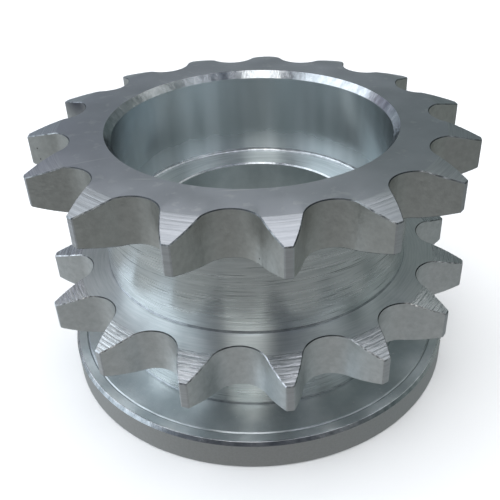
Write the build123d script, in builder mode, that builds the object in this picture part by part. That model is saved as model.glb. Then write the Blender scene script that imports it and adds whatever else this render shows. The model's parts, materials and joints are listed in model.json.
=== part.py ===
"""Double chain sprocket, turned and hobbed from one piece of steel.

Two equal rows of teeth, for two single roller chains, stand on one hub that ends in a plain round
flange. The bore is stepped: a bearing seat opens at the upper face, and a narrower hole runs on
from its shoulder and out through the flange.

Millimetres, +Z up along the bore. The origin is on the bore's axis, on the flange's flat underside.
"""

import os
from math import acos, cos, degrees, hypot, pi, radians, sin

from build123d import *

# Roller chain: 5/8 inch pitch
tooth_count = 15
chain_pitch = 15.875
roller_diameter = 10.16

# Tooth form
seating_angle = 122.6  # arc of the round gap bottom that the roller sits in
seating_play = 0.05  # how much larger the gap bottom's radius is than the roller's
flank_radius = 29.0  # convex flank, from the gap bottom to the tip
tip_height = 3.37  # tooth tip above the pitch circle
tooth_width = 8.7  # a row of teeth, from side face to side face
bevel_width = 6.1  # bevel on both sides of each tooth, from the tip inwards
bevel_depth = 1.65  # how far the bevel falls away from the side face at the tip

# Lengths along the axis, from the underside up
flange_thickness = 6.1
lower_neck_length = 8.2  # hub between the flange and the lower row
upper_neck_length = 17.7  # hub between the two rows

# Hub and flange
hub_wall = 3.8  # between the bearing seat and the outside of the hub
neck_fillet = 0.5  # left by the turning tool where the hub meets a side face
flange_diameter = 78.3
flange_top_chamfer = 0.6
flange_edge_break = 0.3
ring_groove_inset = 2.35  # from the rim to the middle of the fine ring in the flange's upper face
ring_groove_width = 0.5
ring_groove_depth = 0.15

# Stepped bore
bearing_seat_diameter = 52.0
bearing_seat_depth = 18.5
bearing_seat_lead_in = 1.4  # height of the chamfer at the seat's mouth
bearing_seat_flare = 1.1  # how much wider the chamfer makes the mouth, in radius
through_hole_diameter = 38.8
through_hole_chamfer = 1.0
shoulder_edge_break = 0.3

# Radii
pitch_radius = chain_pitch / (2 * sin(pi / tooth_count))
root_radius = pitch_radius - roller_diameter / 2
tip_radius = pitch_radius + tip_height
bevel_start_radius = tip_radius - bevel_width
seating_radius = roller_diameter / 2 + seating_play
bearing_seat_radius = bearing_seat_diameter / 2
through_hole_radius = through_hole_diameter / 2
hub_radius = bearing_seat_radius + hub_wall
flange_radius = flange_diameter / 2
ring_groove_radius = flange_radius - ring_groove_inset

# The neck's fillets take up to half of the narrowest face beside the hub
narrowest_ledge = min(bevel_start_radius, ring_groove_radius - ring_groove_width / 2) - hub_radius
neck_fillet_radius = min(neck_fillet, narrowest_ledge / 2)

# Heights
lower_row_bottom = flange_thickness + lower_neck_length
lower_row_top = lower_row_bottom + tooth_width
upper_row_bottom = lower_row_top + upper_neck_length
upper_row_top = upper_row_bottom + tooth_width
shoulder_height = upper_row_top - bearing_seat_depth

# A tooth gap, with its middle along +X. The seating arc touches the root circle. Each flank's arc
# leaves it tangentially, and has its centre inside the tooth.
half_seating_angle = radians(seating_angle / 2)
seat_centre_x = root_radius + seating_radius
flank_start = (
    seat_centre_x - seating_radius * cos(half_seating_angle),
    seating_radius * sin(half_seating_angle),
)
flank_centre = (
    flank_start[0] - flank_radius * cos(half_seating_angle),
    flank_start[1] + flank_radius * sin(half_seating_angle),
)
gap_overrun = 0.5  # how far the gap's outline runs on past the tooth tips
gap_mouth_radius = tip_radius + gap_overrun


def angle_at_flank_centre(radius):
    """Angle, seen from the flank's centre, between the axis and the flank's point at this radius."""
    axis_distance = hypot(*flank_centre)
    return acos((axis_distance**2 + flank_radius**2 - radius**2) / (2 * axis_distance * flank_radius))


flank_sweep = degrees(angle_at_flank_centre(gap_mouth_radius) - angle_at_flank_centre(hypot(*flank_start)))

with BuildSketch() as tooth_gap:
    with BuildLine():
        seat = CenterArc((seat_centre_x, 0), seating_radius, 180 - seating_angle / 2, seating_angle)
        left_flank = JernArc(seat @ 0, -(seat % 0), flank_radius, flank_sweep)
        right_flank = JernArc(seat @ 1, seat % 1, flank_radius, -flank_sweep)
        Polyline(
            left_flank @ 1,
            (gap_mouth_radius, (left_flank @ 1).Y),
            (gap_mouth_radius, (right_flank @ 1).Y),
            right_flank @ 1,
        )
    make_face()

with BuildPart() as chain_sprocket:
    # The turned blank: half of its section, with X as the radius and Y as the height
    with BuildSketch(Plane.XZ):
        with BuildLine():
            Polyline(
                (through_hole_radius, 0),
                (flange_radius, 0),
                (flange_radius, flange_thickness),
                (ring_groove_radius + ring_groove_width / 2, flange_thickness),
                (ring_groove_radius, flange_thickness - ring_groove_depth),
                (ring_groove_radius - ring_groove_width / 2, flange_thickness),
                (hub_radius, flange_thickness),
                (hub_radius, lower_row_bottom),
                (bevel_start_radius, lower_row_bottom),
                (tip_radius, lower_row_bottom + bevel_depth),
                (tip_radius, lower_row_top - bevel_depth),
                (bevel_start_radius, lower_row_top),
                (hub_radius, lower_row_top),
                (hub_radius, upper_row_bottom),
                (bevel_start_radius, upper_row_bottom),
                (tip_radius, upper_row_bottom + bevel_depth),
                (tip_radius, upper_row_top - bevel_depth),
                (bevel_start_radius, upper_row_top),
                (bearing_seat_radius + bearing_seat_flare, upper_row_top),
                (bearing_seat_radius, upper_row_top - bearing_seat_lead_in),
                (bearing_seat_radius, shoulder_height),
                (through_hole_radius, shoulder_height),
                close=True,
            )
        make_face()
        near = neck_fillet_radius / 2
        neck_corners = vertices().filter_by_position(Axis.X, hub_radius - near, hub_radius + near)
        fillet(neck_corners, neck_fillet_radius)
        for radius, height, size in (
            (flange_radius, 0, flange_edge_break),
            (flange_radius, flange_thickness, flange_top_chamfer),
            (through_hole_radius, shoulder_height, shoulder_edge_break),
            (through_hole_radius, 0, through_hole_chamfer),
        ):
            chamfer(vertices().sort_by_distance((radius, height))[0], size)
    revolve(axis=Axis.Z)

    # The hobbed gaps: both rows are cut in step, so their teeth line up
    for row_bottom in (lower_row_bottom, upper_row_bottom):
        with BuildSketch(Plane.XY.offset(row_bottom)):
            with PolarLocations(0, tooth_count):
                add(tooth_gap.sketch)
        extrude(amount=tooth_width, mode=Mode.SUBTRACT)

chain_sprocket.part.label = "chain_sprocket"
os.makedirs("parts", exist_ok=True)
export_step(chain_sprocket.part, "parts/chain_sprocket.step")
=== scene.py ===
"""Looks of a double chain sprocket: one piece of steel, turned, hobbed and bright zinc plated.

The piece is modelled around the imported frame, in metres, and stands for its one solid.
"""

import json
from math import acos, atan2, cos, hypot, pi, radians, sin
from types import SimpleNamespace

import bmesh
import bpy
from mathutils import Matrix, Vector


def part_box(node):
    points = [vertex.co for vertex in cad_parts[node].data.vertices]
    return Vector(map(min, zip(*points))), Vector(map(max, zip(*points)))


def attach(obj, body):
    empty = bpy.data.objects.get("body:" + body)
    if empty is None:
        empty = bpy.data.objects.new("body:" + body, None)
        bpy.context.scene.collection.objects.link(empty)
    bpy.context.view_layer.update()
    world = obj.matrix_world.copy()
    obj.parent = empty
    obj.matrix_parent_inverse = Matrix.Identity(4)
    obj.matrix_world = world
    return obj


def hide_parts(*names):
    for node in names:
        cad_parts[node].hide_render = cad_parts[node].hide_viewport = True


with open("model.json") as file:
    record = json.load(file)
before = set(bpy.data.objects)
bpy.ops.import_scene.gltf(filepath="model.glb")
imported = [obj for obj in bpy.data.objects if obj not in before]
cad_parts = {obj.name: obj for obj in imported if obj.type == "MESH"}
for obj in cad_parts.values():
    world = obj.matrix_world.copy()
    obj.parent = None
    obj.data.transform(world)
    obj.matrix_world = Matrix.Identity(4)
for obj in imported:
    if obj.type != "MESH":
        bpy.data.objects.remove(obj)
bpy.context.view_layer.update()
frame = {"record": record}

MM = 0.001
SAME_PLACE = 0.002 * MM

# ---------------------------------------------------------------- sizes from the frame
mounts = {mount["name"]: mount for mount in frame["record"]["mounts"]}
seat_mount = mounts["bearing_seat"]
hole_mount = mounts["through_hole"]
seat_radius = seat_mount["dims"]["r_mm"] * MM
seat_length = seat_mount["dims"]["length_mm"] * MM
hole_radius = hole_mount["dims"]["r_mm"] * MM
shoulder_height = seat_mount["pos_m"][2] - seat_length / 2
lead_in_bottom = seat_mount["pos_m"][2] + seat_length / 2
pitch_radius = mounts["upper_chain_row"]["pos_m"][0]
upper_row_middle = mounts["upper_chain_row"]["pos_m"][2]
lower_row_middle = mounts["lower_chain_row"]["pos_m"][2]
upper_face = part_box("chain_sprocket")[1].z
half_tooth = upper_face - upper_row_middle

# ---------------------------------------------------------------- tooth form
tooth_count = 15
roller_radius = 5.08 * MM
seating_play = 0.05 * MM
seating_half_angle = radians(61.3)
flank_radius = 29.0 * MM
tip_height = 3.37 * MM
bevel_width = 6.1 * MM
bevel_depth = 1.65 * MM
bevel_crown = 1.12  # power that the bevel's fall follows: 1 would be a straight cone

tooth_angle = 2 * pi / tooth_count
root_radius = pitch_radius - roller_radius
tip_radius = pitch_radius + tip_height
bevel_start = tip_radius - bevel_width
seating_radius = roller_radius + seating_play
seat_centre = root_radius + seating_radius

# ---------------------------------------------------------------- hub, flange and bore
hub_radius = 29.8 * MM
neck_run_out = 0.14 * MM  # the hub widens by this at each end, over the height below
neck_run_out_height = 0.45 * MM
flange_radius = 39.15 * MM
flange_height = 6.1 * MM
flange_top_chamfer = 0.6 * MM  # the upper edge's whole width, up to the flat face
flange_edge_fall = 0.72 * MM  # the upper edge's whole height: a cone, rounded over at its top
flange_edge_rounding = (0.2 * MM, 0.06 * MM)  # width and height
flange_edge_break = 0.3 * MM
ring_groove_radius = 36.8 * MM
ring_groove_half_width = 0.25 * MM
ring_groove_depth = 0.15 * MM
neck_radius = hub_radius + neck_run_out
mouth_radius = 27.1 * MM
shoulder_edge_break = 0.3 * MM
shoulder_fillet = 0.7 * MM
hole_chamfer = 1.0 * MM

# ---------------------------------------------------------------- how finely it is drawn
gap_arc_steps = 12
flank_foot_steps = 2
bevel_columns = 5
fillet_steps = 8
edge_break = 0.16 * MM
sharp_edge = radians(35)  # an edge that turns by more than this is broken by a chamfer
smooth_edge = radians(13)  # an edge that turns by less than this is shaded smooth

# Grooves that the coarse turning pass left in the bevels, in millimetres: radius, depth
upper_grooves = ((36.2, 0.01), (36.9, 0.02), (37.7, 0.01), (38.5, 0.015), (39.4, 0.01), (40.5, 0.015))
lower_grooves = (
    (36.5, 0.03),
    (37.2, 0.015),
    (37.9, 0.035),
    (38.5, 0.015),
    (39.2, 0.04),
    (39.95, 0.02),
    (40.75, 0.035),
)
groove_half_width = 0.16 * MM

# Scratches in the side faces, in millimetres: middle, turn from the X axis, length, width
side_scratches = (
    ((-27.5, -15.5, 49.4), radians(20), 9, 0.35),
    ((-17.5, -22.6, 49.4), radians(-4), 6, 0.4),
    ((-24.5, 12.5, 49.4), radians(-52), 5, 0.5),
    ((-3.0, -27.4, 49.4), radians(2), 7, 0.4),
)

# A dark blue patch of painted shade on the plate of one upper tooth gap, in the same terms
painted_gap_shade = ((-35.2, 13.0, 49.6), 0, 14, 14)

mark_height = 12  # millimetres: the scratches and the patch of painted shade have faded out half of this above and below their middles


# ---------------------------------------------------------------- drawing
def start_outline(name, x, y, z):
    """A single point to draw an outline from: a small plane, merged to its middle."""
    bpy.ops.object.select_all(action="DESELECT")
    bpy.ops.mesh.primitive_plane_add(size=MM, location=(x, y, z))
    outline = bpy.context.object
    outline.name = name
    bpy.ops.object.transform_apply(location=True, rotation=True, scale=True)
    bpy.ops.object.mode_set(mode="EDIT")
    bpy.ops.mesh.select_mode(type="VERT")
    bpy.ops.mesh.merge(type="CENTER")
    return outline


def swing(steps, angle, centre):
    """Carries what is selected round a centre, anticlockwise from above, and draws its track."""
    bpy.ops.mesh.spin(steps=steps, angle=-angle, center=centre, axis=(0, 0, 1))


def pick_edges(wanted):
    """Selects just the edges that pass the test."""
    bpy.ops.mesh.select_mode(type="EDGE")
    bpy.ops.mesh.select_all(action="DESELECT")
    shape = bmesh.from_edit_mesh(bpy.context.edit_object.data)
    for edge in shape.edges:
        if wanted(edge):
            edge.select_set(True)
    bmesh.update_edit_mesh(bpy.context.edit_object.data)


def from_axis(vertex):
    return hypot(vertex.co.x, vertex.co.y)


def picked_radius():
    """How far the selected circle is from the axis."""
    shape = bmesh.from_edit_mesh(bpy.context.edit_object.data)
    return next(from_axis(vertex) for vertex in shape.verts if vertex.select)


# ---------------------------------------------------------------- a row of teeth
def gap_bottom_point(turned):
    """The point of the gap's bottom at this angle, seen from its arc's centre."""
    return seat_centre - seating_radius * cos(turned), seating_radius * sin(turned)


flank_start = gap_bottom_point(seating_half_angle)
flank_centre = (
    flank_start[0] - flank_radius * cos(seating_half_angle),
    flank_start[1] + flank_radius * sin(seating_half_angle),
)


def angle_at_flank_centre(radius):
    """The angle, seen from the flank's centre, from the axis to the flank's point at this radius."""
    axis_distance = hypot(*flank_centre)
    return acos((axis_distance**2 + flank_radius**2 - radius**2) / (2 * axis_distance * flank_radius))


def angle_at_seat_centre(radius):
    """The angle, seen from the gap bottom's centre, from the axis to the arc's point at this radius."""
    return acos((seat_centre**2 + seating_radius**2 - radius**2) / (2 * seat_centre * seating_radius))


def bevel_drop(radius):
    """How far the bevel has fallen from the side face: slowly at first, because it is a little crowned."""
    return bevel_depth * ((radius - bevel_start) / bevel_width) ** bevel_crown


def draw_half_gap(grooves):
    """Draws the upper edge of half a tooth gap, from its bottom on the X axis out to the tooth's tip."""
    seat_turn = angle_at_seat_centre(bevel_start)
    swing(gap_arc_steps, -seat_turn, (seat_centre, 0, 0))
    foot_turn = (seating_half_angle - seat_turn) / flank_foot_steps
    drop = 0
    for step in range(1, flank_foot_steps + 1):
        swing(1, -foot_turn, (seat_centre, 0, 0))
        radius = hypot(*gap_bottom_point(seat_turn + foot_turn * step))
        bpy.ops.transform.translate(value=(0, 0, drop - bevel_drop(radius)))
        drop = bevel_drop(radius)
    rings = []
    for groove_radius, depth in grooves:
        middle = groove_radius * MM
        rings += [(middle - groove_half_width, 0), (middle, depth * MM), (middle + groove_half_width, 0)]
    rings.append((tip_radius, 0))
    for ring_radius, depth in rings:
        turn = angle_at_flank_centre(ring_radius) - angle_at_flank_centre(radius)
        swing(1, turn, (*flank_centre, 0))
        ring_drop = bevel_drop(ring_radius) + depth
        bpy.ops.transform.translate(value=(0, 0, drop - ring_drop))
        radius, drop = ring_radius, ring_drop


def tooth_row(name, middle_height, grooves):
    """A ring of teeth, open towards the hub: bevels, flanks, gap bottoms and tips."""
    row = start_outline(name, root_radius, 0, half_tooth)
    draw_half_gap(grooves)

    # The bevel: the flank's edge is swung to the tooth's middle, and cut off there
    beyond_start = bevel_start - SAME_PLACE
    pick_edges(lambda edge: all(from_axis(end) > beyond_start for end in edge.verts))
    start_x, start_y = gap_bottom_point(angle_at_seat_centre(bevel_start))
    swing(bevel_columns, tooth_angle / 2 - atan2(start_y, start_x), (0, 0, 0))
    bpy.ops.mesh.select_all(action="SELECT")
    tooth_middle = Vector((cos(tooth_angle / 2), sin(tooth_angle / 2), 0))
    across_middle = Vector((-tooth_middle.y, tooth_middle.x, 0))
    bpy.ops.mesh.bisect(
        plane_co=(0, 0, 0),
        plane_no=across_middle,
        clear_outer=True,
        threshold=SAME_PLACE / 2,
    )

    # The flank, gap bottom and tip: their upper edge is carried down to the row's middle plane
    def on_tooth_middle(vertex):
        return abs(vertex.co.dot(across_middle)) < SAME_PLACE

    def on_bevel_start(vertex):
        return abs(from_axis(vertex) - bevel_start) < SAME_PLACE

    def on_upper_edge(edge):
        open_edge = len(edge.link_faces) < 2
        inner = all(map(on_tooth_middle, edge.verts)) or all(map(on_bevel_start, edge.verts))
        return open_edge and not inner

    pick_edges(on_upper_edge)
    bpy.ops.mesh.extrude_region_move()
    bpy.ops.transform.resize(value=(1, 1, 0), center_override=(0, 0, 0))

    # The flat side face: its outer edge is carried in to the circle where the hub begins
    def on_side_face(edge):
        return all(end.co.z > half_tooth - SAME_PLACE for end in edge.verts)

    pick_edges(on_side_face)
    bpy.ops.mesh.extrude_region_move()
    face_middle = (0, 0, half_tooth)
    bpy.ops.transform.tosphere(value=1, center_override=face_middle)
    reach = neck_radius / picked_radius()
    bpy.ops.transform.resize(value=(reach, reach, 1), center_override=face_middle)
    bpy.ops.object.mode_set(mode="OBJECT")

    # The other half of the gap and of the thickness, and then the other teeth
    mirror = row.modifiers.new("halves", "MIRROR")
    mirror.use_axis = (False, True, True)
    mirror.merge_threshold = SAME_PLACE
    bpy.ops.object.modifier_apply(modifier=mirror.name)
    bpy.ops.object.mode_set(mode="EDIT")
    bpy.ops.mesh.select_all(action="SELECT")
    copies = tooth_count - 1
    whole_turn = copies * tooth_angle
    bpy.ops.mesh.spin(steps=copies, angle=whole_turn, dupli=True, center=(0, 0, 0), axis=(0, 0, 1))
    bpy.ops.mesh.select_all(action="SELECT")
    bpy.ops.mesh.remove_doubles(threshold=SAME_PLACE)
    bpy.ops.transform.translate(value=(0, 0, middle_height))
    bpy.ops.object.mode_set(mode="OBJECT")
    return row


# ---------------------------------------------------------------- the turned body
def shoulder_corner():
    """The fillet that the boring tool's nose left between the seat's wall and the shoulder."""
    arc = []
    for step in range(fillet_steps + 1):
        turned = pi / 2 * step / fillet_steps
        inwards, down = 1 - cos(turned), 1 - sin(turned)
        arc.append((seat_radius - shoulder_fillet * inwards, shoulder_height + shoulder_fillet * down))
    return arc


def flange_edge():
    """The upper edge of the rim: a cone, and a rounding that runs out into the flange's face."""
    width, height = flange_edge_rounding
    foot = flange_radius - flange_top_chamfer
    points = [(flange_radius, flange_height - flange_edge_fall)]
    for step in range(fillet_steps + 1):
        turned = pi / 2 * step / fillet_steps
        points.append((foot + width * cos(turned), flange_height - height + height * sin(turned)))
    return points


def neck(bottom, top):
    """A stretch of hub between two level faces, with the tool's steep run-out at both ends."""
    return [
        (neck_radius, bottom),
        (hub_radius, bottom + neck_run_out_height),
        (hub_radius, top - neck_run_out_height),
        (neck_radius, top),
    ]


def pick_circle(radius, height):
    def on_circle(vertex):
        return abs(from_axis(vertex) - radius) < SAME_PLACE and abs(vertex.co.z - height) < SAME_PLACE

    pick_edges(lambda edge: all(map(on_circle, edge.verts)))


def turn_along(section):
    """Carries the circle at the section's start along its points of radius and height."""
    pick_circle(*section[0])
    for (radius, height), (next_radius, next_height) in zip(section, section[1:]):
        bpy.ops.mesh.extrude_region_move(TRANSFORM_OT_translate={"value": (0, 0, next_height - height)})
        ratio = next_radius / radius
        bpy.ops.transform.resize(value=(ratio, ratio, 1), center_override=(0, 0, next_height))


def bore_and_flange_section():
    """Down the bore from the upper face, out along the underside, and up to the lower row."""
    return [
        (neck_radius, upper_face),
        (mouth_radius, upper_face),
        (seat_radius, lead_in_bottom),
        *shoulder_corner(),
        (hole_radius + shoulder_edge_break, shoulder_height),
        (hole_radius, shoulder_height - shoulder_edge_break),
        (hole_radius, hole_chamfer),
        (hole_radius + hole_chamfer, 0),
        (flange_radius - flange_edge_break, 0),
        (flange_radius, flange_edge_break),
        *flange_edge(),
        (ring_groove_radius + ring_groove_half_width, flange_height),
        (ring_groove_radius, flange_height - ring_groove_depth),
        (ring_groove_radius - ring_groove_half_width, flange_height),
        *neck(flange_height, lower_row_middle - half_tooth),
    ]


def join_shells(*shells):
    bpy.ops.object.select_all(action="DESELECT")
    for shell in shells:
        shell.select_set(True)
    bpy.context.view_layer.objects.active = shells[0]
    bpy.ops.object.join()
    return shells[0]


def break_edges(bottom, top, finish_number):
    """A narrow chamfer along the sharp edges round every tooth gap between these heights, in this finish."""

    def is_hobbed_edge(edge):
        on_teeth = all(from_axis(end) > root_radius - SAME_PLACE for end in edge.verts)
        in_row = all(bottom < end.co.z < top for end in edge.verts)
        return on_teeth and in_row and edge.calc_face_angle() > sharp_edge

    pick_edges(is_hobbed_edge)
    bpy.ops.mesh.bevel(
        offset=edge_break,
        segments=1,
        affect="EDGES",
        clamp_overlap=False,
        material=finish_number,
    )


# ---------------------------------------------------------------- nodes
FIRST_COLOUR, SECOND_COLOUR = 6, 7  # the sockets of the two colours, where colours are mixed
MIXED_COLOUR = 2  # and the socket of the mixed one


def linear(hexa):
    """An sRGB hex colour as the linear one that shaders take."""
    colour = []
    for place in (0, 2, 4):
        share = int(hexa[place : place + 2], 16) / 255
        colour.append(share / 12.92 if share <= 0.04045 else ((share + 0.055) / 1.055) ** 2.4)
    return (*colour, 1.0)


def node(tree, kind, sockets, **settings):
    """Adds a node, with its settings, and fills its sockets with values or links."""
    added = tree.nodes.new(kind)
    for name, value in settings.items():
        setattr(added, name, value)
    for socket, value in sockets.items():
        if isinstance(value, bpy.types.Node):
            value = value.outputs[0]
        if isinstance(value, bpy.types.NodeSocket):
            tree.links.new(value, added.inputs[socket])
        else:
            added.inputs[socket].default_value = value
    return added


# ---------------------------------------------------------------- patterns, in millimetres
line_raggedness = 0.6  # how strong each finer layer of noise is, as a share of the one before
cloud_raggedness = 0.55
soft_step = 0.04  # half of how far a pattern rises while a mark's edge goes from 0 to 1
quarter_turn = 0.25  # as the shader counts its anisotropic rotation


def start_finish(name):
    """A new material, with the coordinates that tool marks are drawn on."""
    material = bpy.data.materials.new("zinc_plated_steel_" + name)
    material.use_nodes = True
    tree = material.node_tree
    tree.nodes.clear()
    place = node(tree, "ShaderNodeTexCoord", {}).outputs["Object"]
    spot = node(tree, "ShaderNodeVectorMath", {0: place, "Scale": 1 / MM}, operation="SCALE")
    level = node(tree, "ShaderNodeVectorMath", {0: spot, 1: (1, 1, 0)}, operation="MULTIPLY")
    radius = node(tree, "ShaderNodeVectorMath", {0: level}, operation="LENGTH").outputs["Value"]
    outwards = node(tree, "ShaderNodeVectorMath", {0: level}, operation="NORMALIZE")
    around = node(tree, "ShaderNodeVectorMath", {0: (0, 0, 1), 1: outwards}, operation="CROSS_PRODUCT")
    height = node(tree, "ShaderNodeSeparateXYZ", {0: spot}).outputs["Z"]
    return SimpleNamespace(
        material=material,
        tree=tree,
        spot=spot,
        radius=radius,
        outwards=outwards,
        around=around,
        height=height,
    )


def lines_round(finish, across, spacing, length, detail=2):
    """Lines round the axis, such as a turning tool leaves: this far apart, and about this long."""
    tree = finish.tree
    sockets = {0: finish.outwards, "Scale": hub_radius / MM / length}
    turned = node(tree, "ShaderNodeVectorMath", sockets, operation="SCALE")
    turned = node(tree, "ShaderNodeSeparateXYZ", {0: turned})
    step = node(tree, "ShaderNodeMath", {0: across, 1: spacing}, operation="DIVIDE")
    sockets = {"X": step, "Y": turned.outputs["X"], "Z": turned.outputs["Y"]}
    place = node(tree, "ShaderNodeCombineXYZ", sockets)
    sockets = {"Vector": place, "Scale": 1, "Detail": detail, "Roughness": line_raggedness}
    return node(tree, "ShaderNodeTexNoise", sockets)


def lines_up(finish, spacing, length, detail=2):
    """Lines along the axis, such as a hob's facets: this far apart, and about this long."""
    tree = finish.tree
    stretch = (1 / spacing, 1 / spacing, 1 / length)
    place = node(tree, "ShaderNodeVectorMath", {0: finish.spot, 1: stretch}, operation="MULTIPLY")
    sockets = {"Vector": place, "Scale": 1, "Detail": detail, "Roughness": line_raggedness}
    return node(tree, "ShaderNodeTexNoise", sockets)


def clouds(finish, size, detail=3):
    """Soft patches of about this size."""
    sockets = {"Vector": finish.spot, "Scale": 1 / size, "Detail": detail, "Roughness": cloud_raggedness}
    return node(finish.tree, "ShaderNodeTexNoise", sockets)


def between(finish, pattern, low, high, from_low=0.3, from_high=0.7):
    """A pattern's values, stretched to run between these two. Noise mostly runs from 0.3 to 0.7."""
    sockets = {"Value": pattern, "From Min": from_low, "From Max": from_high, "To Min": low, "To Max": high}
    return node(finish.tree, "ShaderNodeMapRange", sockets)


def tinted(finish, pattern, dark, light):
    """A colour that goes from dark to light with the pattern."""
    share = between(finish, pattern, 0, 1)
    sockets = {"Factor": share, FIRST_COLOUR: linear(dark), SECOND_COLOUR: linear(light)}
    return node(finish.tree, "ShaderNodeMix", sockets, data_type="RGBA").outputs[MIXED_COLOUR]


def cut_in(finish, pattern, depth, under=None):
    """The pattern as relief of this depth, over the relief under it."""
    sockets = {"Height": pattern, "Strength": 1, "Distance": depth * MM}
    if under:
        sockets["Normal"] = under
    return node(finish.tree, "ShaderNodeBump", sockets)


def only_high(finish, pattern, level):
    """1 where the pattern is above this level, and 0 where it is below, with a soft step between."""
    return between(finish, pattern, 0, 1, level - soft_step, level + soft_step)


def scratch_or_painted_shade(finish, middle, turn, length, width):
    """1 in the middle of a level mark: one of the scratches, or the painted shade. It fades out to its ends,
    and its place is in millimetres.
    """
    half_size = (length / 2, width / 2, mark_height / 2)
    sockets = {"Vector": finish.spot, "Location": middle, "Rotation": (0, 0, turn), "Scale": half_size}
    along = node(finish.tree, "ShaderNodeMapping", sockets, vector_type="TEXTURE")
    return node(finish.tree, "ShaderNodeTexGradient", {"Vector": along}, gradient_type="SPHERICAL")


def most(finish, patterns):
    """The greatest of some patterns."""
    greatest = patterns[0]
    for pattern in patterns[1:]:
        greatest = node(finish.tree, "ShaderNodeMath", {0: greatest, 1: pattern}, operation="MAXIMUM")
    return greatest


def over(finish, colour, pattern, mark):
    """The colour, with another one where the pattern is 1."""
    sockets = {"Factor": pattern, FIRST_COLOUR: colour, SECOND_COLOUR: linear(mark)}
    return node(finish.tree, "ShaderNodeMix", sockets, data_type="RGBA").outputs[MIXED_COLOUR]


def pits(finish, spacing, width, limit):
    """1 in pits of this width, at a few of the points that are scattered this far apart.

    Each point has a random shade, and has a pit where its shade is under the limit.
    """
    tree = finish.tree
    cells = node(tree, "ShaderNodeTexVoronoi", {"Vector": finish.spot, "Scale": 1 / spacing})
    chosen = node(tree, "ShaderNodeMath", {0: cells.outputs["Color"], 1: limit}, operation="LESS_THAN")
    half = width / 2 / spacing
    sockets = {"Value": cells.outputs["Distance"], "From Min": half, "From Max": half / 2}
    near = node(tree, "ShaderNodeMapRange", sockets, interpolation_type="SMOOTHSTEP")
    return node(tree, "ShaderNodeMath", {0: chosen, 1: near}, operation="MULTIPLY")


def plated(finish, colour, roughness, relief, anisotropy=0.0):
    """Ends a finish: bright zinc plate, whose highlights stretch across marks that run round the axis."""
    sockets = {"Base Color": colour, "Metallic": 1.0, "Roughness": roughness, "Normal": relief}
    if anisotropy:
        sockets |= {"Anisotropic": anisotropy, "Anisotropic Rotation": quarter_turn}
        sockets["Tangent"] = finish.around
    shader = node(finish.tree, "ShaderNodeBsdfPrincipled", sockets)
    node(finish.tree, "ShaderNodeOutputMaterial", {"Surface": shader})
    return finish.material


# ---------------------------------------------------------------- the finishes
# All of them are one bright zinc plate over steel. It is only some thousandths of a millimetre
# thick, so it keeps every mark of the tool that cut the steel, and the finishes differ by that tool.
# Some of them also carry painted shade and painted highlights.
# A real feed leaves lines 0.05 to 0.15 mm apart. They are drawn 0.2 to 0.6 mm apart, so that they show.

scuff_strength = 0.45  # how bright the scuffs are, as a share of a scratch


def faced_tooth_side():
    """Zinc plated steel, faced on a lathe with a fine feed: satin, with scuffs and a few scratches."""
    finish = start_finish("faced_tooth_side")
    feed = lines_round(finish, finish.radius, spacing=0.3, length=14)
    patches = clouds(finish, size=6)
    scuffs = only_high(finish, clouds(finish, size=2.6, detail=6), level=0.62)
    scratches = most(finish, [scratch_or_painted_shade(finish, *each) for each in side_scratches])
    faint_scuffs = node(finish.tree, "ShaderNodeMath", {0: scuffs, 1: scuff_strength}, operation="MULTIPLY")
    marks = most(finish, [scratches, faint_scuffs])
    colour = over(finish, tinted(finish, patches, "d4d6dc", "dddfe5"), marks, "f6f7f8")
    relief = cut_in(finish, feed, depth=0.0015)
    relief = cut_in(finish, clouds(finish, size=0.35), depth=0.0045, under=relief)
    roughness = between(finish, patches, 0.31, 0.36)
    return plated(finish, colour, roughness, relief, anisotropy=0.6)


def faced_lower_side():
    """Zinc plated steel, faced with a longer tool that chattered: streaks round it, even on the flat."""
    finish = start_finish("faced_lower_side")
    feed = lines_round(finish, finish.radius, spacing=0.35, length=6, detail=4)
    relief = cut_in(finish, feed, depth=0.012)
    colour = tinted(finish, feed, "d9dedf", "f1f3f4")
    roughness = between(finish, feed, 0.28, 0.36)
    return plated(finish, colour, roughness, relief, anisotropy=0.75)


def faced_flange():
    """Zinc plated steel, faced on a lathe and then rubbed by handling: smooth, and a little clouded."""
    finish = start_finish("faced_flange")
    feed = lines_round(finish, finish.radius, spacing=0.35, length=4, detail=4)
    patches = clouds(finish, size=5, detail=5)
    relief = cut_in(finish, feed, depth=0.016)
    grain = clouds(finish, size=0.6, detail=5)
    relief = cut_in(finish, grain, depth=0.03, under=relief)
    colour = tinted(finish, patches, "d2dadc", "eef2f3")
    colour = over(finish, colour, only_high(finish, grain, level=0.68), "f4f6f6")
    roughness = between(finish, patches, 0.38, 0.3)
    return plated(finish, colour, roughness, relief, anisotropy=0.7)


def faced_shoulder():
    """Zinc plated steel, faced deep in the bore where the tool chatters: bright, with rough rings."""
    finish = start_finish("faced_shoulder")
    feed = lines_round(finish, finish.radius, spacing=0.45, length=12)
    relief = cut_in(finish, feed, depth=0.012)
    relief = cut_in(finish, clouds(finish, size=0.9), depth=0.02, under=relief)
    colour = tinted(finish, feed, "cfd5d5", "e9eded")
    roughness = between(finish, feed, 0.32, 0.42)
    return plated(finish, colour, roughness, relief, anisotropy=0.6)


def turned_bevel():
    """Zinc plated steel, turned with a fresh tool: many fine streaks, bright and dark by turns."""
    finish = start_finish("turned_bevel")
    feed = lines_round(finish, finish.radius, spacing=0.22, length=7)
    streaks = lines_round(finish, finish.radius, spacing=0.5, length=5)
    relief = cut_in(finish, streaks, depth=0.008)
    relief = cut_in(finish, feed, depth=0.011, under=relief)
    colour = tinted(finish, feed, "c8cbcf", "e4e6e9")
    roughness = between(finish, streaks, 0.3, 0.4)
    return plated(finish, colour, roughness, relief, anisotropy=0.6)


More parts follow.
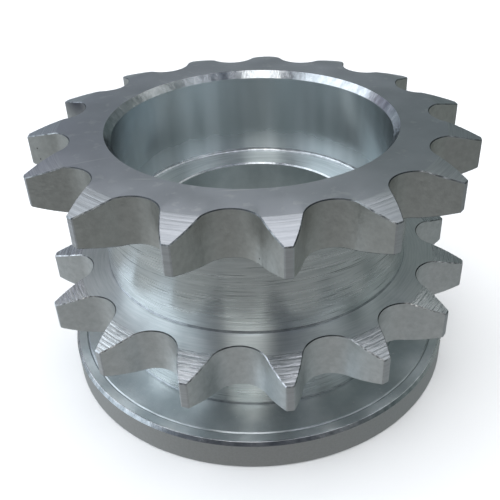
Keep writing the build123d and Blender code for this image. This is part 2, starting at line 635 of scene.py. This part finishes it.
def torn_bevel():
    """Zinc plated steel, turned with a worn tool: coarse torn streaks that glitter between dark ones."""
    finish = start_finish("torn_bevel")
    feed = lines_round(finish, finish.radius, spacing=0.45, length=4)
    tears = lines_round(finish, finish.radius, spacing=0.24, length=1.8, detail=4)
    relief = cut_in(finish, feed, depth=0.02)
    relief = cut_in(finish, tears, depth=0.052, under=relief)
    colour = tinted(finish, tears, "b6babc", "fafbfc")
    roughness = between(finish, feed, 0.22, 0.34)
    return plated(finish, colour, roughness, relief, anisotropy=0.5)


def hobbed(name, dark, light):
    """Zinc plated steel, cut by a hob: dull, a little grainy, streaked along the axis, with dark pits and
    one patch of painted shade.
    """
    finish = start_finish(name)
    facets = lines_up(finish, spacing=0.8, length=30)
    waves = lines_up(finish, spacing=2.6, length=40)
    grain = clouds(finish, size=0.6, detail=4)
    smudges = clouds(finish, size=1.1, detail=6)
    small_pits = pits(finish, spacing=1.6, width=0.4, limit=0.1)
    large_pits = pits(finish, spacing=2.7, width=0.7, limit=0.05)
    dark_pits = most(finish, [small_pits, large_pits])
    relief = cut_in(finish, waves, depth=0.05)
    relief = cut_in(finish, facets, depth=0.006, under=relief)
    relief = cut_in(finish, grain, depth=0.045, under=relief)
    colour = over(finish, tinted(finish, smudges, dark, light), dark_pits, "5a5b59")
    # Painted shade: a dark blue patch on the plate of one upper tooth gap.
    colour = over(finish, colour, scratch_or_painted_shade(finish, *painted_gap_shade), "10163a")
    roughness = between(finish, grain, 0.4, 0.46)
    return plated(finish, colour, roughness, relief)


def hobbed_flank():
    """The upper row's tooth gaps: the darker of two copies of the same plate."""
    return hobbed("hobbed_flank", "c7c8c4", "d8d9d5")


def hobbed_lower_flank():
    """The lower row's tooth gaps: the same plate, in a lighter, cooler copy that is painted light."""
    # Painted light: these colours are lighter and cooler than the upper row's, for the same plate.
    return hobbed("hobbed_lower_flank", "dcdfde", "eef0f0")


def turned_tip():
    """Zinc plated steel, what the hob left of the turned blank's outside: satin, with lines round it."""
    finish = start_finish("turned_tip")
    feed = lines_round(finish, finish.height, spacing=0.4, length=6)
    relief = cut_in(finish, feed, depth=0.006)
    colour = tinted(finish, feed, "c9cbcd", "dcdee0")
    roughness = between(finish, feed, 0.34, 0.42)
    return plated(finish, colour, roughness, relief, anisotropy=0.5)


def turned_hub():
    """Zinc plated steel, turned: smooth between fine lines round it, some of them torn deeper."""
    finish = start_finish("turned_hub")
    feed = lines_round(finish, finish.height, spacing=0.3, length=16)
    chatter = lines_round(finish, finish.height, spacing=0.8, length=7)
    tears = lines_round(finish, finish.height, spacing=0.28, length=9)
    torn = only_high(finish, tears, level=0.66)
    relief = cut_in(finish, feed, depth=0.009)
    relief = cut_in(finish, chatter, depth=0.008, under=relief)
    relief = cut_in(finish, torn, depth=-0.009, under=relief)
    colour = over(finish, tinted(finish, chatter, "d0d5d4", "e6eae9"), torn, "a3a9a8")
    roughness = between(finish, feed, 0.25, 0.33)
    return plated(finish, colour, roughness, relief, anisotropy=0.85)


def turned_corner():
    """Zinc plated steel, where the tool stopped at a face: smooth, bright, a little ragged, and darker as
    painted shade.
    """
    finish = start_finish("turned_corner")
    ragged = lines_round(finish, finish.height, spacing=0.5, length=1.6)
    relief = cut_in(finish, ragged, depth=0.01)
    # Painted shade: darker than the hub, for the inside corner's shade.
    colour = tinted(finish, ragged, "a4a8aa", "d8dbdd")
    roughness = between(finish, ragged, 0.18, 0.24)
    return plated(finish, colour, roughness, relief, anisotropy=0.6)


def bored_seat():
    """Zinc plated steel, finely bored for the bearing: smooth, softly wavy, with a few dark specks.

    It is rougher in the last few millimetres above the shoulder, where the tool dwelt.
    """
    finish = start_finish("bored_seat")
    feed = lines_round(finish, finish.height, spacing=0.5, length=22)
    waves = lines_up(finish, spacing=5, length=60)
    specks = pits(finish, spacing=5, width=0.9, limit=0.05)
    relief = cut_in(finish, waves, depth=0.028)
    relief = cut_in(finish, feed, depth=0.005, under=relief)
    colour = over(finish, tinted(finish, waves, "d4dcde", "edf3f5"), specks, "5a6264")
    foot = shoulder_height / MM
    dwelt = between(finish, finish.height, 0.16, 0, from_low=foot + 1, from_high=foot + 6)
    wavy = between(finish, waves, 0.21, 0.25)
    roughness = node(finish.tree, "ShaderNodeMath", {0: wavy, 1: dwelt}, operation="ADD")
    return plated(finish, colour, roughness, relief, anisotropy=0.9)


def bored_hole():
    """Zinc plated steel, bored for clearance only: satin, and darker as painted shade deep in the hole."""
    finish = start_finish("bored_hole")
    feed = lines_round(finish, finish.height, spacing=0.5, length=14)
    patches = clouds(finish, size=3, detail=4)
    relief = cut_in(finish, feed, depth=0.002)
    # Painted shade: darker than the seat above it, for the depth of the hole.
    colour = tinted(finish, patches, "cad2d3", "dae1e2")
    roughness = between(finish, patches, 0.28, 0.34)
    return plated(finish, colour, roughness, relief, anisotropy=0.5)


def turned_chamfer():
    """Zinc plated steel, chamfered with one plunge of the tool: bright, and uneven where it chattered."""
    finish = start_finish("turned_chamfer")
    feed = lines_round(finish, finish.radius, spacing=0.3, length=5)
    chatter = lines_up(finish, spacing=1.6, length=12, detail=3)
    relief = cut_in(finish, feed, depth=0.008)
    relief = cut_in(finish, chatter, depth=0.055, under=relief)
    colour = tinted(finish, chatter, "bcc0c3", "eff1f3")
    roughness = between(finish, chatter, 0.18, 0.28)
    return plated(finish, colour, roughness, relief, anisotropy=0.5)


def turned_ring():
    """Zinc plated steel, a fine ring scored into the flange's face: bright, but with a rough floor."""
    finish = start_finish("turned_ring")
    broken = lines_round(finish, finish.radius, spacing=0.3, length=2.5, detail=4)
    relief = cut_in(finish, broken, depth=0.03)
    colour = tinted(finish, broken, "a6acae", "e2e7e9")
    roughness = between(finish, broken, 0.3, 0.4)
    return plated(finish, colour, roughness, relief, anisotropy=0.5)


def turned_rim():
    """Zinc plated steel, turned and then worn dull by handling: an even satin grey."""
    finish = start_finish("turned_rim")
    feed = lines_round(finish, finish.height, spacing=0.4, length=18)
    grain = clouds(finish, size=0.4)
    relief = cut_in(finish, feed, depth=0.003)
    relief = cut_in(finish, grain, depth=0.003, under=relief)
    colour = tinted(finish, grain, "babbba", "c6c7c7")
    roughness = between(finish, grain, 0.36, 0.42)
    return plated(finish, colour, roughness, relief, anisotropy=0.5)


def near_gap_bottom(finish):
    """1 by the bottom of a tooth gap, fading to 0 along its flanks, 1 to 3 millimetres further out: where
    edges get painted shade.
    """
    bottom = root_radius / MM
    return between(finish, finish.radius, 1, 0, from_low=bottom + 1, from_high=bottom + 3)


def burnt_edge():
    """Zinc plated steel at the upper row's edges: dark with painted shade, with a few painted highlights as
    bright spots.
    """
    finish = start_finish("burnt_edge")
    burrs_and_painted_glints = clouds(finish, size=0.9, detail=6)
    relief = cut_in(finish, burrs_and_painted_glints, depth=0.05)
    # Painted shade and highlights: dark edges with bright spots, darker still by the gap bottom.
    colour = over(finish, tinted(finish, burrs_and_painted_glints, "34373a", "c0c4c6"), near_gap_bottom(finish), "4c4f52")
    return plated(finish, colour, roughness=0.36, relief=relief)


def burred_edge():
    """Zinc plated steel at the lower row's edges: bright painted highlights on the burr tops, between dark
    spots of painted shade.
    """
    finish = start_finish("burred_edge")
    burrs_and_painted_glints = clouds(finish, size=0.7, detail=6)
    relief = cut_in(finish, burrs_and_painted_glints, depth=0.06)
    # Painted highlights and shade: bright and dark spots, darker still by the gap bottom.
    colour = over(finish, tinted(finish, burrs_and_painted_glints, "4c4f50", "f8f9fa"), near_gap_bottom(finish), "3c3f41")
    return plated(finish, colour, roughness=0.3, relief=relief)


# ---------------------------------------------------------------- which face has which finish
level_within = radians(0.8)  # a face that leans less than this counts as level
upright_within = radians(1.15)  # and one that leans less than this as upright


def pick_faces(wanted):
    """Selects just the faces that pass the test."""
    bpy.ops.mesh.select_mode(type="FACE")
    bpy.ops.mesh.select_all(action="DESELECT")
    shape = bmesh.from_edit_mesh(bpy.context.edit_object.data)
    for face in shape.faces:
        if wanted(face):
            face.select_set(True)
    bmesh.update_edit_mesh(bpy.context.edit_object.data)


def nearest(face):
    return min(map(from_axis, face.verts))


def furthest(face):
    return max(map(from_axis, face.verts))


def furthest_down(face):
    return min(corner.co.z for corner in face.verts)


def above_flange(face):
    return furthest_down(face) > flange_height + SAME_PLACE


def is_level(face):
    return abs(face.normal.z) > cos(level_within)


def is_upright(face):
    return abs(face.normal.z) < sin(upright_within)


def is_tooth_side(face):
    return is_level(face) and above_flange(face) and nearest(face) > mouth_radius - SAME_PLACE


def is_lower_side(face):
    return is_tooth_side(face) and furthest_down(face) < upper_row_middle - half_tooth - SAME_PLACE


def is_flange_face(face):
    return is_level(face) and not is_tooth_side(face)


def is_ring(face):
    inner, outer = ring_groove_radius - ring_groove_half_width, ring_groove_radius + ring_groove_half_width
    on_ring = nearest(face) > inner - SAME_PLACE and furthest(face) < outer + SAME_PLACE
    return on_ring and not is_level(face) and not is_upright(face) and not above_flange(face)


def is_shoulder(face):
    return is_level(face) and above_flange(face) and furthest(face) < seat_radius + SAME_PLACE


def is_bevel(face):
    return nearest(face) > bevel_start - SAME_PLACE and not is_upright(face) and above_flange(face)


def is_lower_bevel(face):
    return is_bevel(face) and furthest_down(face) < lower_row_middle + half_tooth


def is_flank(face):
    return is_upright(face) and above_flange(face) and nearest(face) > root_radius - SAME_PLACE


def is_lower_flank(face):
    return is_flank(face) and furthest_down(face) < lower_row_middle + half_tooth


def is_tip(face):
    return is_upright(face) and above_flange(face) and nearest(face) > tip_radius - SAME_PLACE


def is_hub(face):
    return furthest(face) < neck_radius + SAME_PLACE and nearest(face) > mouth_radius and is_upright(face)


def is_corner(face):
    return furthest(face) < neck_radius + SAME_PLACE and nearest(face) > mouth_radius and not is_level(face)


def is_bore(face):
    return is_upright(face) and furthest(face) < mouth_radius


def is_hole(face):
    return is_bore(face) and furthest(face) < hole_radius + SAME_PLACE


def is_rim(face):
    return is_upright(face) and not above_flange(face) and nearest(face) > neck_radius


def finish_where(number, wanted):
    """Gives the finish with this number to the faces that pass the test."""
    pick_faces(wanted)
    bpy.context.object.active_material_index = number
    bpy.ops.object.material_slot_assign()


def model_sprocket():
    upper = tooth_row("chain_sprocket_body", upper_row_middle, upper_grooves)
    lower = tooth_row("lower_row", lower_row_middle, lower_grooves)
    sprocket = join_shells(upper, lower)
    bpy.ops.object.mode_set(mode="EDIT")
    turn_along(bore_and_flange_section())
    turn_along(neck(lower_row_middle + half_tooth, upper_row_middle - half_tooth))
    bpy.ops.mesh.select_all(action="SELECT")
    bpy.ops.mesh.remove_doubles(threshold=SAME_PLACE)
    bpy.ops.mesh.normals_make_consistent(inside=False)
    finishes = (
        (turned_chamfer, lambda face: True),
        (faced_tooth_side, is_tooth_side),
        (faced_lower_side, is_lower_side),
        (faced_flange, is_flange_face),
        (turned_ring, is_ring),
        (faced_shoulder, is_shoulder),
        (turned_bevel, is_bevel),
        (torn_bevel, is_lower_bevel),
        (hobbed_flank, is_flank),
        (hobbed_lower_flank, is_lower_flank),
        (turned_tip, is_tip),
        (turned_corner, is_corner),
        (turned_hub, is_hub),
        (bored_seat, is_bore),
        (bored_hole, is_hole),
        (turned_rim, is_rim),
        (burnt_edge, lambda face: False),
        (burred_edge, lambda face: False),
    )
    for number, (finish, test) in enumerate(finishes):  # a later test wins over an earlier one
        sprocket.data.materials.append(finish())
        finish_where(number, test)
    numbers = {finish: number for number, (finish, test) in enumerate(finishes)}
    upper_edges, lower_edges = numbers[burnt_edge], numbers[burred_edge]
    between_rows = (lower_row_middle + upper_row_middle) / 2
    break_edges(between_rows, upper_face + SAME_PLACE, upper_edges)
    break_edges(flange_height + SAME_PLACE, between_rows, lower_edges)

    def is_tip_corner(face):
        return face.material_index in (upper_edges, lower_edges) and is_upright(face)

    finish_where(numbers[turned_tip], is_tip_corner)
    bpy.ops.object.mode_set(mode="OBJECT")
    bpy.ops.object.shade_smooth_by_angle(angle=smooth_edge)
    return sprocket


sprocket = model_sprocket()
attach(sprocket, "root")
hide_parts("chain_sprocket")

# ---------------------------------------------------------------- floor
bpy.ops.mesh.primitive_plane_add(size=1.6)
floor = bpy.context.object
floor.name = "floor"
paper = bpy.data.materials.new("white_paper")
paper.use_nodes = True
paper_shader = paper.node_tree.nodes["Principled BSDF"]
paper_shader.inputs["Base Color"].default_value = linear("fafafa")
paper_shader.inputs["Specular IOR Level"].default_value = 0
floor.data.materials.append(paper)
floor.visible_glossy = False  # the plate would show it as a glare from below

# ---------------------------------------------------------------- studio
object_middle = Vector((0, 0, 24 * MM))


def towards(azimuth, elevation):
    """The direction to a light. Azimuth is clockwise from straight behind the object."""
    turned, raised = radians(azimuth), radians(elevation)
    return Vector((sin(turned) * cos(raised), cos(turned) * cos(raised), sin(raised)))


def soft_box(name, azimuth, elevation, distance, width, height, colour, brightness):
    """A soft light that faces the object. Its brightness is that of its own surface."""
    lamp = bpy.data.lights.new(name, "AREA")
    lamp.shape = "RECTANGLE"
    lamp.size, lamp.size_y = width, height
    lamp.color = linear(colour)[:3]
    lamp.energy = brightness * pi * width * height
    box = bpy.data.objects.new(name, lamp)
    way = towards(azimuth, elevation)
    box.location = object_middle + way * distance
    box.rotation_euler = way.to_track_quat("Z", "Y").to_euler()
    bpy.context.scene.collection.objects.link(box)
    return box


# Name, azimuth, elevation, distance, width, height, colour, brightness: degrees and metres
soft_box("ceiling_panel", -11, 81, 1.0, 0.9, 0.9, "fbfbfd", 0.97)
soft_box("ceiling_strip", -167, 64, 0.9, 0.32, 0.31, "fbffff", 1.4)
soft_box("left_window", -92, 30, 1.0, 1.15, 1.05, "e9f6ff", 1.08)
soft_box("front_window", -169, 47, 1.0, 0.44, 0.42, "fffcf6", 1.15)
soft_box("right_door", 135, 30, 1.0, 0.6, 0.6, "ffffff", 0.24)
soft_box("door_lamp", 124, 48, 1.0, 0.3, 0.25, "f4f8ff", 0.6)
soft_box("right_panel", 68, 50, 1.0, 0.55, 0.5, "fbfdff", 0.5)
floor_light = soft_box("floor_light", 0, 90, 1.6, 2.5, 2.5, "ffffff", 1.45)
floor_light.visible_glossy = False  # it lights the floor only, and is not seen in the plate

world = bpy.data.worlds.new("studio")
bpy.context.scene.world = world
world.use_nodes = True
room = world.node_tree
room.nodes.clear()
way_out = node(room, "ShaderNodeTexCoord", {}).outputs["Generated"]
ways = node(room, "ShaderNodeSeparateXYZ", {0: way_out})
levels = node(room, "ShaderNodeMapRange", {"Value": ways.outputs["Z"], "From Min": -1, "From Max": 1})

# Where the shades of a wall stand: 0 is straight down, 1/2 is eye level and 1 is straight up
shade_heights = (0, 1 / 6, 1 / 3, 0.4, 1 / 2, 2 / 3, 5 / 6, 1)
straight_down = "909090"
ceiling = "656f84"


def room_side(table, skirting, dado, eye_level, wall, cornice):
    """One side of the room that the plate mirrors, in shades from the table's edge up to the cornice."""
    ramp = node(room, "ShaderNodeValToRGB", {"Fac": levels})
    shades = (straight_down, table, skirting, dado, eye_level, wall, cornice, ceiling)
    while len(ramp.color_ramp.elements) < len(shades):
        ramp.color_ramp.elements.new(1)
    for element, height, shade in zip(ramp.color_ramp.elements, shade_heights, shades):
        element.position = height
        element.color = linear(shade)
    return ramp


window_side = room_side("cacfd0", "8b8c90", "bcc6ce", "d0e0ec", "848299", "dcdbdd")
door_side = room_side("a0a6a8", "545857", "a4aba9", "4a5858", "6a7274", "747c7a")
camera_side = room_side("b0b3b4", "2c2f30", "84888a", "101212", "585c64", "34363a")
leftness = node(room, "ShaderNodeMapRange", {"Value": ways.outputs["X"], "From Min": 0, "From Max": -1})
nearness = node(room, "ShaderNodeMapRange", {"Value": ways.outputs["Y"], "From Min": -0.2, "From Max": -0.9})
sockets = {"Factor": leftness, FIRST_COLOUR: door_side, SECOND_COLOUR: window_side}
walls = node(room, "ShaderNodeMix", sockets, data_type="RGBA").outputs[MIXED_COLOUR]
sockets = {"Factor": nearness, FIRST_COLOUR: walls, SECOND_COLOUR: camera_side}
walls = node(room, "ShaderNodeMix", sockets, data_type="RGBA").outputs[MIXED_COLOUR]
mirrored = node(room, "ShaderNodeBackground", {"Color": walls})
backdrop = node(room, "ShaderNodeBackground", {"Color": linear("ffffff")})
seen = node(room, "ShaderNodeLightPath", {}).outputs["Is Camera Ray"]
sky = node(room, "ShaderNodeMixShader", {"Fac": seen, 1: mirrored, 2: backdrop})
node(room, "ShaderNodeOutputWorld", {"Surface": sky})

# ---------------------------------------------------------------- camera
camera_data = bpy.data.cameras.new("camera")
camera = bpy.data.objects.new("camera", camera_data)
bpy.context.scene.collection.objects.link(camera)
camera_place = Vector((0, -120.4422, 99.6185)) * MM
camera_pitch, camera_yaw, camera_roll = radians(33.4061), radians(1.8658), radians(-1.2672)
camera.matrix_world = (
    Matrix.Translation(camera_place)
    @ Matrix.Rotation(-camera_yaw, 4, "Z")
    @ Matrix.Rotation(pi / 2 - camera_pitch, 4, "X")
    @ Matrix.Rotation(camera_roll, 4, "Z")
)
camera_data.sensor_width = 36
camera_data.lens = 49.84
camera_data.shift_x = -0.0526
camera_data.clip_start = 10 * MM
bpy.context.scene.camera = camera
bpy.context.scene.view_settings.view_transform = "Standard"
